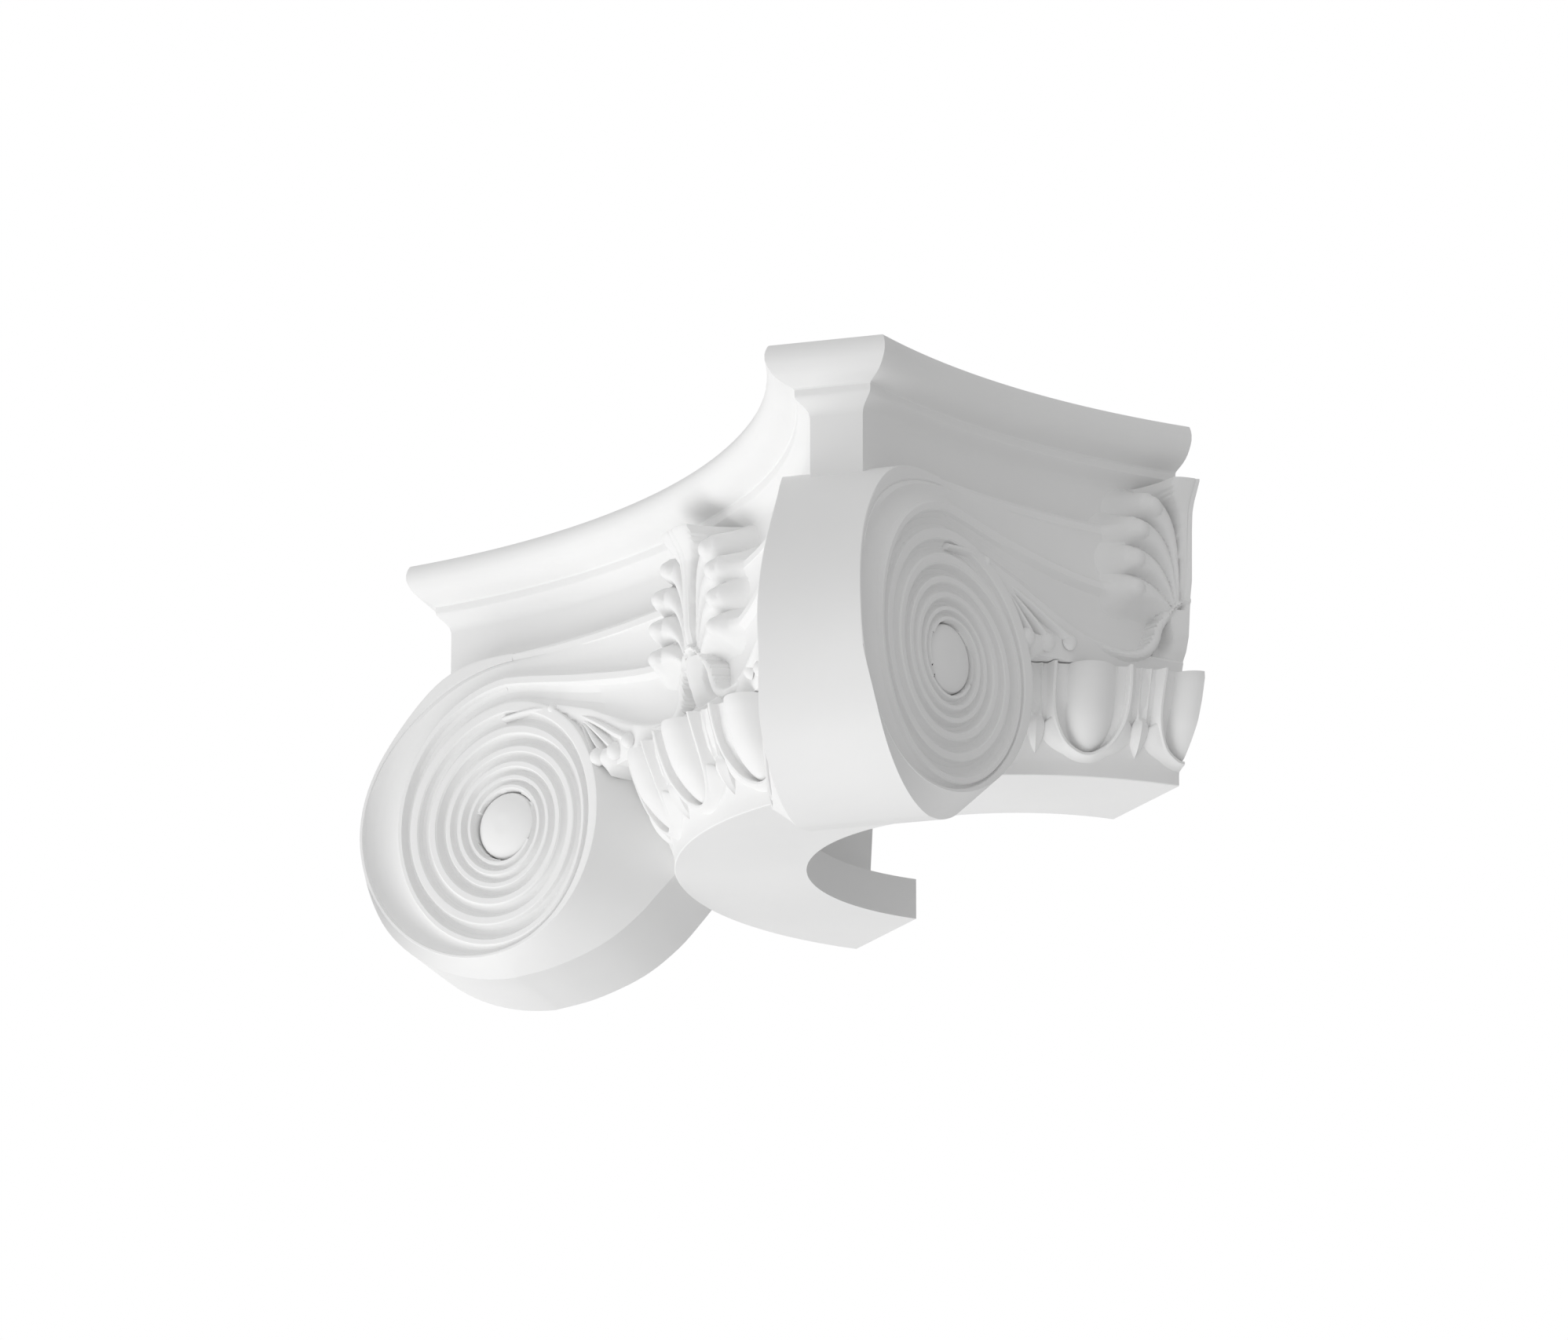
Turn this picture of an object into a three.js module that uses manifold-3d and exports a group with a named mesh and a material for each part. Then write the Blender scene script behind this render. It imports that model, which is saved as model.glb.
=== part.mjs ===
// A half-round angular Ionic capital, moulded in one piece for a column that stands half in a wall.
// Millimetres, Z up. X runs along the wall, the wall is the plane y = 0 and the capital is in front, at -Y.
// Shapes are worked out around the column's axis with z = 0 at the neck's underside, where a point is
// (x, n, z) and n is the distance in front of the wall. The last step moves the origin to the wall face.
import * as THREE from 'three';
import { mergeVertices } from 'three/addons/utils/BufferGeometryUtils.js';
import Module from 'manifold-3d';

const wasm = await Module();
wasm.setup();

// Column and body
const NECK_R = 150;
const ROUND_STEPS = 36;
const NECK_H = 6;
const THROAT_R = 91.5;
const LIP_H = 18.5;
const CAVITY_R = 137;
const CAVITY_TOP_R = 124;
const CAVITY_TOP_Z = 140;
const BELL_R = 148;
const WALL_MOUNT_Z = 149.5;

// Abacus: four hollow sides with cut corners
const ABACUS_CORNER_X = 177.2;
const ABACUS_CORNER_N = 213.6;
const ABACUS_MID_N = 162.9;
const ABACUS_LOW_Z = 104;
const SIDE_STEPS = 10;
// Each row is a height and how far the outline has drawn in there, from the top edge down to the fascia.
const ABACUS_PROFILE = [
  [159.3, 0.4], [155, -1.6], [150, -0.4], [146, 3], [143, 9], [141.6, 13.2], [138, 13.6], [135, 17],
  [131, 20.9], [104, 20.9],
];

// Volutes, on faces that curve forward from the middle to the corner
const FACE_MID_N = 154;
const FACE_CURVE = 0.29 / NECK_R;
const EYE_S = 136.4;
const EYE_Z = 29.6;
const EYE_R = 15.5;
const EYE_RISE = 1.6;
const TURN_RATIO = 1.585;
const TURN_STEPS = 20;
const TURNS = 4;
const SHARP_TURN = 0.75;
const CHANNEL_DEPTH = 5;
const GROOVE_DEPTH = 3.4;
const GROOVE_FLOOR = 4.4;
const TOP_RECESS = 5;

// Corner blocks that the volutes stand on. The radii round the eye stand at equal angles, from low to top.
const BLOCK_D = 223.5;
const BLOCK_LOW_DEG = -90;
const BLOCK_TOP_DEG = 66;
const BLOCK_RADII = [68.3, 73.2, 77.6, 84.8];
// Half the band's width, level with the eye and at its lowest
const BLOCK_HALF_MID = 24.4;
const BLOCK_HALF_LOW = 29;
// Below the volutes the block runs back to the neck along these points, along the diagonal and up.
const BLOCK_TAIL = [[223.5, -38.7], [204, -35], [182, -26.5], [165, -14.5], [150, 0.5], [140, 3]];
const BLOCK_TAIL_STEP_DEG = 18;
// Past this turn the disc's side runs straight back, to this distance from the wall.
const SKIRT_TURN = 0.42;
const SKIRT_BACK_N = 114;

const CORE_D0 = 100;
const CORE_D1 = 225;
const CORE_HALF = 23;
const CORE_LOW_Z = 3;
const CORE_TOP_Z = 106;
const CANAL_BACK_N = 100;

// Palmette lobes, by the place of the tip and the bend, and the leaves of the husks, by tip and half-width
const LOBE_TIPS = [[22, 122, 4, 114], [33, 108, 8, 106], [38, 93, 16, 96], [34, 78, 20, 85]];
const LOBE_ROOT_Z = 72;
const LOBE_STATIONS = [[0.15, 2.2, 5], [0.5, 4.2, 7.5], [0.86, 7.2, 10], [0.96, 6.4, 10.5], [1.02, 3, 6]];
const LOBE_BACK = 6;
// Upright leaf, stem and ribbon, each by stations of place (s, z), half-width and height
const LEAF = [
  [0, 72, 3.5, 6.5], [0, 90, 4.5, 9], [0, 112, 6, 9.7],
  [0, 121, 8.5, 11], [0, 129, 12, 15], [0, 133, 12, 16.9],
];
const STEM = [[0, 47, 13, -2], [0, 53, 10.5, -1], [0, 58.5, 6.5, 3.5], [0, 65, 6.5, 6], [0, 74, 8, 7]];
const RIBBON = [[9, 72, 2.6, 5.2], [15, 62, 3, 4], [21, 55.5, 3, 3], [38, 54, 2.6, 1.4]];
const LEAF_ARCH = 5;
// The mass behind the lobes: heights, half-width and front
const PALMETTE_GROUND = [[62, 12, 0], [74, 26, 1], [92, 31, 2], [108, 27, 3], [122, 16, 5], [134, 5, 5]];
const HUSK_ROOT = [107, 76];
const HUSK_TIPS = [[64, 56, 4], [73, 54, 4.4], [83, 53, 4.6]];

// Egg-and-dart belt: the eggs stand at equal steps from the middle of each face
const FACE_ANGLES = [-Math.PI / 2, 0, Math.PI / 2];
const BELT_STEP = (16.6 * Math.PI) / 180;
const BELT_TOP_Z = 45.5;
const EGG_Z = 40;
const EGG_LOW_Z = 11;
const EGG_HALF_W = 14;
const EGG_OUT = 24;
const EGG_ARCH = 6;
const SHELL_HALF_W = 18.5;
const SHELL_WIDE = 3;
const SHELL_STEPS = 6;
const SHELL_LOW_Z = 12;
const SHELL_TOP_R = 171;
const SHELL_LOW_R = 154;

const TAU = 2 * Math.PI;
const deg = (a) => (a * Math.PI) / 180;
const mix = (a, b, t) => a + (b - a) * t;
const clamp01 = (t) => Math.min(1, Math.max(0, t));
const smooth = (t) => clamp01(t) ** 2 * (3 - 2 * clamp01(t));

// A smooth curve through values that stand at equal steps from start
function through(values, start, step) {
  const last = values.length - 1;
  return (t) => {
    const u = Math.min(last, Math.max(0, (t - start) / step));
    const i = Math.min(last - 1, Math.floor(u));
    const f = u - i;
    const [p0, p1, p2, p3] = [-1, 0, 1, 2].map((k) => values[Math.min(last, Math.max(0, i + k))]);
    const bend = f * (p2 - p0 + f * (2 * p0 - 5 * p1 + 4 * p2 - p3 + f * (3 * (p1 - p2) + p3 - p0)));
    return p1 + 0.5 * bend;
  };
}

// Closed solids from point lists
function toSolid(points, triangles) {
  const raw = new THREE.BufferGeometry();
  raw.setAttribute('position', new THREE.Float32BufferAttribute(points.flat(), 3));
  raw.setIndex(triangles.flat());
  const merged = mergeVertices(raw, 1e-3);
  const index = merged.index.array;
  const kept = [];
  for (let i = 0; i < index.length; i += 3) {
    const [a, b, c] = index.slice(i, i + 3);
    if (a !== b && b !== c && c !== a) kept.push(a, b, c);
  }
  const mesh = new wasm.Mesh({
    numProp: 3,
    vertProperties: merged.attributes.position.array,
    triVerts: new Uint32Array(kept),
  });
  mesh.merge();
  const solid = new wasm.Manifold(mesh);
  return solid.volume() < 0 ? toSolid(points, triangles.map(([a, b, c]) => [a, c, b])) : solid;
}

function geometrySolid(geometry) {
  const points = [];
  const position = geometry.attributes.position;
  for (let i = 0; i < position.count; i += 1) {
    points.push([position.getX(i), position.getY(i), position.getZ(i)]);
  }
  const index = geometry.index ? Array.from(geometry.index.array) : points.map((_, i) => i);
  const triangles = [];
  for (let i = 0; i < index.length; i += 3) triangles.push(index.slice(i, i + 3));
  return toSolid(points, triangles);
}

// A solid between closed rings of equally many points, with flat ends
function ringSolid(rings) {
  const count = rings[0].length;
  const points = rings.flat();
  const triangles = [];
  for (let r = 0; r < rings.length - 1; r += 1) {
    for (let i = 0; i < count; i += 1) {
      const a = r * count + i;
      const b = r * count + ((i + 1) % count);
      triangles.push([a, b, a + count], [b, b + count, a + count]);
    }
  }
  [0, rings.length - 1].forEach((r) => {
    const centre = [0, 1, 2].map((k) => rings[r].reduce((sum, p) => sum + p[k], 0) / count);
    points.push(centre);
    for (let i = 0; i < count; i += 1) {
      const a = r * count + i;
      const b = r * count + ((i + 1) % count);
      triangles.push(r ? [a, b, points.length - 1] : [b, a, points.length - 1]);
    }
  });
  return toSolid(points, triangles);
}

const unite = (solids) => wasm.Manifold.union(solids);
const world = ([x, n, z]) => [x, -n, z];

// The face's plan curve and points on it, at s along the curve from the middle and h in front of it
const slopeAt = (x) => 2 * FACE_CURVE * x;
const arcAt = (x) => 0.5 * x * Math.hypot(1, slopeAt(x)) + Math.asinh(slopeAt(x)) / (4 * FACE_CURVE);

function xAt(s) {
  let x = s;
  for (let i = 0; i < 6; i += 1) x -= (arcAt(x) - s) / Math.hypot(1, slopeAt(x));
  return x;
}

function facePoint(s, z, h) {
  const x = xAt(s);
  const slope = slopeAt(x);
  const length = Math.hypot(1, slope);
  return [x - (slope * h) / length, FACE_MID_N + FACE_CURVE * x * x + h / length, z];
}

// Abacus
function abacusOutline(inset) {
  const halfChord = ABACUS_CORNER_X - 0.05 * inset;
  const cornerN = ABACUS_CORNER_N - inset;
  const sag = ABACUS_CORNER_N - ABACUS_MID_N;
  const radius = (halfChord ** 2 + sag ** 2) / (2 * sag);
  const reach = Math.asin(halfChord / radius);
  const side = [];
  for (let i = 0; i <= SIDE_STEPS; i += 1) {
    const a = reach * ((2 * i) / SIDE_STEPS - 1);
    side.push([radius * Math.sin(a), cornerN - sag + radius * (1 - Math.cos(a))]);
  }
  const outline = [];
  for (let quarter = 0; quarter < 4; quarter += 1) {
    const c = Math.round(Math.cos((quarter * Math.PI) / 2));
    const s = Math.round(Math.sin((quarter * Math.PI) / 2));
    side.forEach(([x, n]) => outline.push([x * c + n * s, n * c - x * s]));
  }
  return outline;
}

function abacus() {
  const rings = ABACUS_PROFILE.map(([z, inset]) => abacusOutline(inset).map(([x, n]) => world([x, n, z])));
  return ringSolid(rings);
}

// Neck, belt floor and bell, turned on the column's axis
function body() {
  const profile = [
    [0, 0], [NECK_R, 0], [NECK_R, NECK_H], [154.4, 18], [162.6, 30], [165.4, BELT_TOP_Z], [BELL_R, 50],
    [BELL_R, ABACUS_LOW_Z + 4], [0, ABACUS_LOW_Z + 4],
  ];
  const lathe = new THREE.LatheGeometry(profile.map(([r, z]) => new THREE.Vector2(r, z)), ROUND_STEPS);
  lathe.rotateX(Math.PI / 2);
  return geometrySolid(lathe);
}

// Radii of the volute's lines from the eye, by turns inwards from the point level with the eye outside.
// The first turn is drawn by its quarters, from the top on, and the rest shrinks evenly.
function lineRadius(firstTurn, steady) {
  const early = through(firstTurn, -0.25, 0.25);
  return (turn) => (turn < 0.75 ? early(turn) : steady * TURN_RATIO ** (1 - turn));
}
const rimOuter = lineRadius([80.5, 76.6, 59, 54.9, 56.9], 50.7);
const rimInner = lineRadius([77.5, 73, 56.5, 49.5, 52], 46.4);
const ridgeOuter = lineRadius([69, 57, 55, 47.4, 46], 41);
const ridgeInner = lineRadius([64.5, 54.5, 51.7, 45.2, 41.2], 36.7);

// One turn's lines at this place, from the rim inwards, each with its height on the face. From the second
// turn on the ridges have a sharp crest.
function turnLines(turn) {
  const sharp = turn >= SHARP_TURN ? 0.5 : 0;
  const rimA = mix(rimOuter(turn), rimInner(turn), sharp);
  const rimB = mix(rimInner(turn), rimOuter(turn), sharp);
  const ridgeC = mix(ridgeOuter(turn), ridgeInner(turn), sharp);
  const ridgeD = mix(ridgeInner(turn), ridgeOuter(turn), sharp);
  const next = rimOuter(turn + 1);
  const recess = -TOP_RECESS * (1 - smooth((turn + 0.16) / 0.16));
  const channel = -Math.min(CHANNEL_DEPTH, 0.9 + 0.34 * (rimB - ridgeC));
  return [
    [rimA, recess], [rimB, recess], [mix(rimB, ridgeC, 0.45), channel],
    [ridgeC, 0], [ridgeD, 0], [mix(ridgeD, next, 0.5), -GROOVE_DEPTH],
  ];
}

const LINES = 6;
const lineCount = LINES * TURNS + 1;

function voluteColumn(start) {
  const lines = [];
  for (let k = 0; lines.length < lineCount; k += 1) lines.push(...turnLines(start + k));
  return lines.slice(0, lineCount).map(([r, h]) => (r > EYE_R ? [r, h] : [EYE_R, -GROOVE_FLOOR]));
}

// The carved disc of one volute: columns of points around the eye, each running from the rim to the eye
function voluteDisc() {
  const columns = [];
  for (let i = 0; i <= TURN_STEPS; i += 1) {
    const turn = -0.25 + i / TURN_STEPS;
    const angle = -turn * TAU;
    const column = voluteColumn(turn).map(([r, h]) => (
      facePoint(EYE_S + r * Math.cos(angle), EYE_Z + r * Math.sin(angle), h)
    ));
    columns.push(column);
  }
  return columns;
}

function eyeRings() {
  const rings = [[EYE_R, -GROOVE_FLOOR], [EYE_R - 1.5, -0.4]];
  return rings.map(([r, h]) => {
    const ring = [];
    for (let i = 0; i < TURN_STEPS; i += 1) {
      const angle = -(-0.25 + i / TURN_STEPS) * TAU;
      ring.push(facePoint(EYE_S + r * Math.cos(angle), EYE_Z + r * Math.sin(angle), h));
    }
    return ring;
  });
}

// Along the corner's diagonal d and across it t
const diagonal = ([x, n, z]) => [(x + n) / Math.SQRT2, (n - x) / Math.SQRT2, z];
const fromDiagonal = (d, t, z) => [(d - t) / Math.SQRT2, (d + t) / Math.SQRT2, z];

// The corner block's outline seen along t, at an angle round the eye: an opening spiral outside, which
// runs back below in a hollow curve to the neck's underside
const tailD = through(BLOCK_TAIL.map(([d]) => d), 0, 1);
const tailZ = through(BLOCK_TAIL.map(([, z]) => z), 0, 1);

const blockStep = deg(BLOCK_TOP_DEG - BLOCK_LOW_DEG) / (BLOCK_RADII.length - 1);
const blockRadius = through(BLOCK_RADII, deg(BLOCK_LOW_DEG), blockStep);

function blockOutline(angle) {
  const low = deg(BLOCK_LOW_DEG);
  const half = mix(BLOCK_HALF_MID, BLOCK_HALF_LOW, clamp01(angle / low));
  const radius = blockRadius(angle);
  if (angle >= low) return [BLOCK_D + radius * Math.cos(angle), half, EYE_Z + radius * Math.sin(angle)];
  const along = (low - angle) / deg(BLOCK_TAIL_STEP_DEG);
  return [tailD(along), half, tailZ(along)];
}

function cornerBlock() {
  const disc = voluteDisc();
  const rim = disc.map((column) => column[0]);
  const seam = disc[0].slice(1, LINES).reverse();
  const front = [...rim, ...seam];
  const waist = front.map((p, i) => {
    const [d, t, z] = diagonal(p);
    if (i > TURN_STEPS) return [mix(d, BLOCK_D, 0.3), Math.min(BLOCK_HALF_LOW, 0.9 * t), mix(z, EYE_Z, 0.1)];
    const turn = -0.25 + i / TURN_STEPS;
    const block = blockOutline(-turn * TAU);
    const rim = [d, 0.97 * t, z];
    const back = diagonal([p[0], SKIRT_BACK_N, z]);
    const blend = smooth(turn / 0.1);
    const straight = smooth((turn - SKIRT_TURN) / 0.1);
    return rim.map((value, k) => mix(mix(value, block[k], blend), back[k], straight));
  });
  const rows = [];
  rows.push(front.map(world));
  rows.push(waist.map(([d, t, z]) => world(fromDiagonal(d, t, z))));
  rows.push(waist.map(([d, t, z]) => world(fromDiagonal(d, -t, z))));
  rows.push(front.map(([x, n, z]) => world([n, x, z])));

  const points = [];
  const triangles = [];
  const add = (p) => points.push(p) - 1;
  const quad = (a, b, c, d, flip) => {
    if (flip) triangles.push([a, c, b], [b, c, d]);
    else triangles.push([a, b, c], [b, d, c]);
  };
  const grid = (lists, flip, closed) => {
    const ids = lists.map((list) => list.map(add));
    for (let i = 0; i < ids.length - 1; i += 1) {
      const count = ids[i].length;
      for (let j = 0; j < (closed ? count : count - 1); j += 1) {
        quad(ids[i][j], ids[i][(j + 1) % count], ids[i + 1][j], ids[i + 1][(j + 1) % count], flip);
      }
    }
    return ids;
  };
  grid(rows, true, true);
  [false, true].forEach((mirrored) => {
    const place = ([x, n, z]) => world(mirrored ? [n, x, z] : [x, n, z]);
    grid(disc.map((column) => column.map(place)), !mirrored, false);
    const eye = grid(eyeRings().map((ring) => ring.map(place)), mirrored, true);
    const ring = eye[eye.length - 1];
    const top = add(place(facePoint(EYE_S, EYE_Z, EYE_RISE)));
    for (let i = 0; i < ring.length; i += 1) {
      const next = ring[(i + 1) % ring.length];
      triangles.push(mirrored ? [ring[i], top, next] : [ring[i], next, top]);
    }
  });
  return toSolid(points, triangles);
}

// Fills the corner behind the two discs, so that block, bell and abacus are one mass
function cornerCore() {
  const core = new THREE.BoxGeometry(CORE_D1 - CORE_D0, 2 * CORE_HALF, CORE_TOP_Z - CORE_LOW_Z);
  core.translate((CORE_D0 + CORE_D1) / 2, 0, (CORE_TOP_Z + CORE_LOW_Z) / 2);
  core.rotateZ(-Math.PI / 4);
  return geometrySolid(core);
}

// The channels that run from volute to volute across the middle of a face
const canalLine = (heights) => through(heights, 0, EYE_S / 3);
const SEAM = -0.25;
const canalTop = canalLine([112.5, 112.5, 111.8, EYE_Z + rimOuter(SEAM)]);
const canalRim = canalLine([106.5, 106.8, 106.8, EYE_Z + rimInner(SEAM)]);
const canalRidgeTop = canalLine([83, 85, 91.8, EYE_Z + ridgeOuter(SEAM)]);
const canalRidgeLow = canalLine([79, 80.6, 87, EYE_Z + ridgeInner(SEAM)]);
const canalEdge = canalLine([55.5, 58.3, 75.5, EYE_Z + rimOuter(SEAM + 1)]);
const CANAL_STATIONS = [0, 22, 44, 64, 84, 103, 120, EYE_S, EYE_S + 6];

function canal() {
  const stations = [...CANAL_STATIONS.slice(1).reverse().map((s) => -s), ...CANAL_STATIONS];
  const seam = turnLines(SEAM);
  const columns = stations.map((s) => {
    const along = Math.min(Math.abs(s), EYE_S);
    const share = along / EYE_S;
    const sink = Math.abs(s) > EYE_S ? 4 : 0;
    const rim = canalRim(along);
    const ridgeTop = canalRidgeTop(along);
    const ridgeLow = canalRidgeLow(along);
    const edge = canalEdge(along);
    const lines = [
      [canalTop(along), mix(-16, seam[0][1], share ** 3)],
      [rim, mix(-1, seam[1][1], share ** 2)],
      [mix(rim, ridgeTop, 0.45), mix(-CHANNEL_DEPTH, seam[2][1], share)],
      [ridgeTop, 0],
      [ridgeLow, 0],
      [mix(ridgeLow, edge, 0.5), mix(-CHANNEL_DEPTH, seam[5][1], share)],
      [edge, 0],
    ];
    const front = lines.map(([z, h]) => facePoint(s, z - (sink ? Math.sign(z - 95) : 0), h - sink));
    const back = [lines[6][0], lines[0][0]].map((z) => [0.8 * xAt(s), CANAL_BACK_N, z]);
    return [...front, ...back].map(world);
  });
  return ringSolid(columns);
}

// A carved lobe on the face: stations of place (s, z), half-width and height, arched over a flat back
function lobe(stations, arch = 4) {
  const last = stations.length - 1;
  const rings = stations.map(([s, z, wide, high], i) => {
    const before = stations[Math.max(0, i - 1)];
    const after = stations[Math.min(last, i + 1)];
    const length = Math.hypot(after[0] - before[0], after[1] - before[1]) || 1;
    const acrossS = (after[1] - before[1]) / length;
    const acrossZ = -(after[0] - before[0]) / length;
    const ring = [];
    for (let k = 0; k < arch; k += 1) {
      const a = (Math.PI * k) / (arch - 1);
      const reach = wide * Math.cos(a);
      const h = mix(-LOBE_BACK, high, Math.sin(a) ** 0.8);
      ring.push(world(facePoint(s + acrossS * reach, z + acrossZ * reach, h)));
    }
    return ring;
  });
  return ringSolid(rings);
}

// Palmette in the middle of a face: one upright leaf between four lobes a side, on a stem with two ribbons
function palmette() {
  const ground = PALMETTE_GROUND.map(([z, wide, h]) => {
    const front = [-wide, 0, wide].map((s) => facePoint(s, z, h));
    return [...front, [wide, CANAL_BACK_N, z], [-wide, CANAL_BACK_N, z]];
  });
  const mass = ringSolid(ground.map((ring) => ring.map(world)));
  const parts = [mass, lobe(LEAF, LEAF_ARCH), lobe(STEM, LEAF_ARCH)];
  [-1, 1].forEach((side) => {
    LOBE_TIPS.forEach(([tipS, tipZ, bendS, bendZ]) => {
      const stations = LOBE_STATIONS.map(([t, wide, high]) => {
        const s = 2 * t * (1 - t) * bendS + t * t * tipS;
        const z = (1 - t) ** 2 * LOBE_ROOT_Z + 2 * t * (1 - t) * bendZ + t * t * tipZ;
        return [side * s, z, wide, high];
      });
      parts.push(lobe(stations));
    });
    parts.push(lobe(RIBBON.map(([s, ...rest]) => [side * s, ...rest])));
  });
  return unite(parts);
}

// Husk of leaves that fills the corner between a volute and the belt
function husks() {
  const parts = [];
  [-1, 1].forEach((side) => {
    HUSK_TIPS.forEach(([tipS, tipZ, wide]) => {
      const [rootS, rootZ] = HUSK_ROOT;
      parts.push(lobe([
        [side * rootS, rootZ, 2.2, 2],
        [side * mix(rootS, tipS, 0.9), mix(rootZ, tipZ, 0.9) + 0.5, wide, 0.5],
        [side * tipS, tipZ, 1, -3],
      ]));
    });
  });
  return unite(parts);
}

// Points on the belt at an angle from the middle of a face, so far round and out
function beltPoint(angle, across, radius, z) {
  const turn = angle + across / radius;
  return [radius * Math.sin(turn), -radius * Math.cos(turn), z];
}

function egg(angle) {
  const rings = [];
  for (let i = 0; i <= 4; i += 1) {
    const z = mix(BELT_TOP_Z, EGG_LOW_Z, Math.sin((Math.PI / 2) * (i / 4)));
    const size = Math.sqrt(Math.max(0.01, 1 - ((z - EGG_Z) / (EGG_Z - EGG_LOW_Z)) ** 2));
    const ring = [];
    for (let k = 0; k < EGG_ARCH; k += 1) {
      const a = (Math.PI * k) / (EGG_ARCH - 1);
      const radius = NECK_R + EGG_OUT * size * Math.sin(a);
      ring.push(beltPoint(angle, EGG_HALF_W * size * Math.cos(a), radius, z));
    }
    rings.push(ring);
  }
  return ringSolid(rings);
}

// The raised shell that runs round an egg from the belt's top edge and back
function shell(angle) {
  const rings = [];
  for (let i = 0; i <= SHELL_STEPS; i += 1) {
    const t = Math.PI * (i / SHELL_STEPS);
    const drop = Math.sin(t) ** 0.8;
    const across = SHELL_HALF_W * Math.cos(t);
    const z = mix(BELT_TOP_Z, SHELL_LOW_Z, drop);
    const radius = mix(SHELL_TOP_R, SHELL_LOW_R, drop);
    const wide = SHELL_WIDE * Math.min(1, 0.6 + Math.abs(Math.cos(t)));
    const outward = [Math.cos(t), -Math.sin(t)];
    rings.push([
      beltPoint(angle, across - wide * outward[0], NECK_R, z - wide * outward[1]),
      beltPoint(angle, across + wide * outward[0], NECK_R, z + wide * outward[1]),
      beltPoint(angle, across + wide * outward[0], radius, z + wide * outward[1]),
      beltPoint(angle, across - wide * outward[0], radius, z - wide * outward[1]),
    ]);
  }
  return ringSolid(rings);
}

function dart(angle) {
  const row = (z, wide, radius) => [
    beltPoint(angle, -wide, NECK_R, z), beltPoint(angle, wide, NECK_R, z), beltPoint(angle, 0, radius, z),
  ];
  return ringSolid([
    row(BELT_TOP_Z, 2.6, 170), row(21, 1.6, 160), row(17.5, 4.6, 158), row(10, 0.5, 151.5),
  ]);
}

function belt() {
  const parts = [];
  FACE_ANGLES.forEach((face) => {
    [-1, 0, 1].forEach((k) => parts.push(egg(face + k * BELT_STEP), shell(face + k * BELT_STEP)));
    [-1.5, -0.5, 0.5, 1.5].forEach((k) => parts.push(dart(face + k * BELT_STEP)));
  });
  return unite(parts);
}

// The hollow behind: a half-round throat through the neck and a wider chamber, closed above
function hollow() {
  const profile = [
    [0, -20], [THROAT_R, -20], [THROAT_R, LIP_H], [CAVITY_R, LIP_H], [CAVITY_TOP_R, CAVITY_TOP_Z],
    [0, CAVITY_TOP_Z],
  ];
  const lathe = new THREE.LatheGeometry(profile.map(([r, z]) => new THREE.Vector2(r, z)), ROUND_STEPS);
  lathe.rotateX(Math.PI / 2);
  return geometrySolid(lathe);
}

function behindWall() {
  const block = new THREE.BoxGeometry(800, 400, 800);
  block.translate(0, 200, 0);
  return geometrySolid(block);
}

function capitalGeometry() {
  const faceCarving = unite([canal(), palmette(), husks()]);
  const corner = unite([cornerBlock(), cornerCore()]);
  const solids = [abacus(), body(), belt()];
  FACE_ANGLES.forEach((angle) => solids.push(faceCarving.rotate([0, 0, (angle * 180) / Math.PI])));
  solids.push(corner, corner.rotate([0, 0, -90]));
  const pieces = unite(solids).subtract(hollow()).subtract(behindWall()).decompose();
  const whole = pieces.reduce((a, b) => (a.volume() > b.volume() ? a : b));
  const mesh = whole.getMesh();
  const geometry = new THREE.BufferGeometry();
  geometry.setAttribute('position', new THREE.Float32BufferAttribute(mesh.vertProperties, 3));
  geometry.setIndex(Array.from(mesh.triVerts));
  geometry.translate(0, 0, -WALL_MOUNT_Z);
  geometry.computeVertexNormals();
  return geometry;
}

const foam = new THREE.MeshStandardMaterial({ color: 0xf0f0ee, roughness: 0.55, metalness: 0 });
const capital = new THREE.Mesh(capitalGeometry(), foam);
capital.name = 'capital';

const group = new THREE.Group();
group.add(capital);

export default group;
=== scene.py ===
"""The half-round Ionic capital as it looks: one moulding of hard foam under a matt white primer.

Shapes are worked out in millimetres around the column's axis, where a point is (x, n, z): x along the wall,
n in front of it and z above the neck's underside. The last step turns them into the row frame, in metres.
"""
import math

import bmesh
import bpy
import numpy as np
from mathutils import Matrix, Vector

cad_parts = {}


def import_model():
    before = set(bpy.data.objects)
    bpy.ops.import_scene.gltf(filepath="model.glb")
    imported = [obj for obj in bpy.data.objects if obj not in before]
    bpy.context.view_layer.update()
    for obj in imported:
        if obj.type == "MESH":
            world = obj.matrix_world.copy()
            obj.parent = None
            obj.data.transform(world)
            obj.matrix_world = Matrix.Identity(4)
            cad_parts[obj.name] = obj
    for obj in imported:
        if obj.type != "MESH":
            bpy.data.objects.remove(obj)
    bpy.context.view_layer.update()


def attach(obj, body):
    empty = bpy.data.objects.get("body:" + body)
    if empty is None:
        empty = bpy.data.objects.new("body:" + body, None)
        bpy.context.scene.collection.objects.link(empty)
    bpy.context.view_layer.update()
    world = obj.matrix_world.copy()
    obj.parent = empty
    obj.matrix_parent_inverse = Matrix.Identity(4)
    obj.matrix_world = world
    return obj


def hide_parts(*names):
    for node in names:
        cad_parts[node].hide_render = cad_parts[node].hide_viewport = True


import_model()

TAU = 2 * math.pi
ROOT_2 = math.sqrt(2)
MM = 0.001
WELD = 2e-6
WALL_MOUNT_Z = 149.5
# Past the capital on every side
BEYOND = 400

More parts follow.
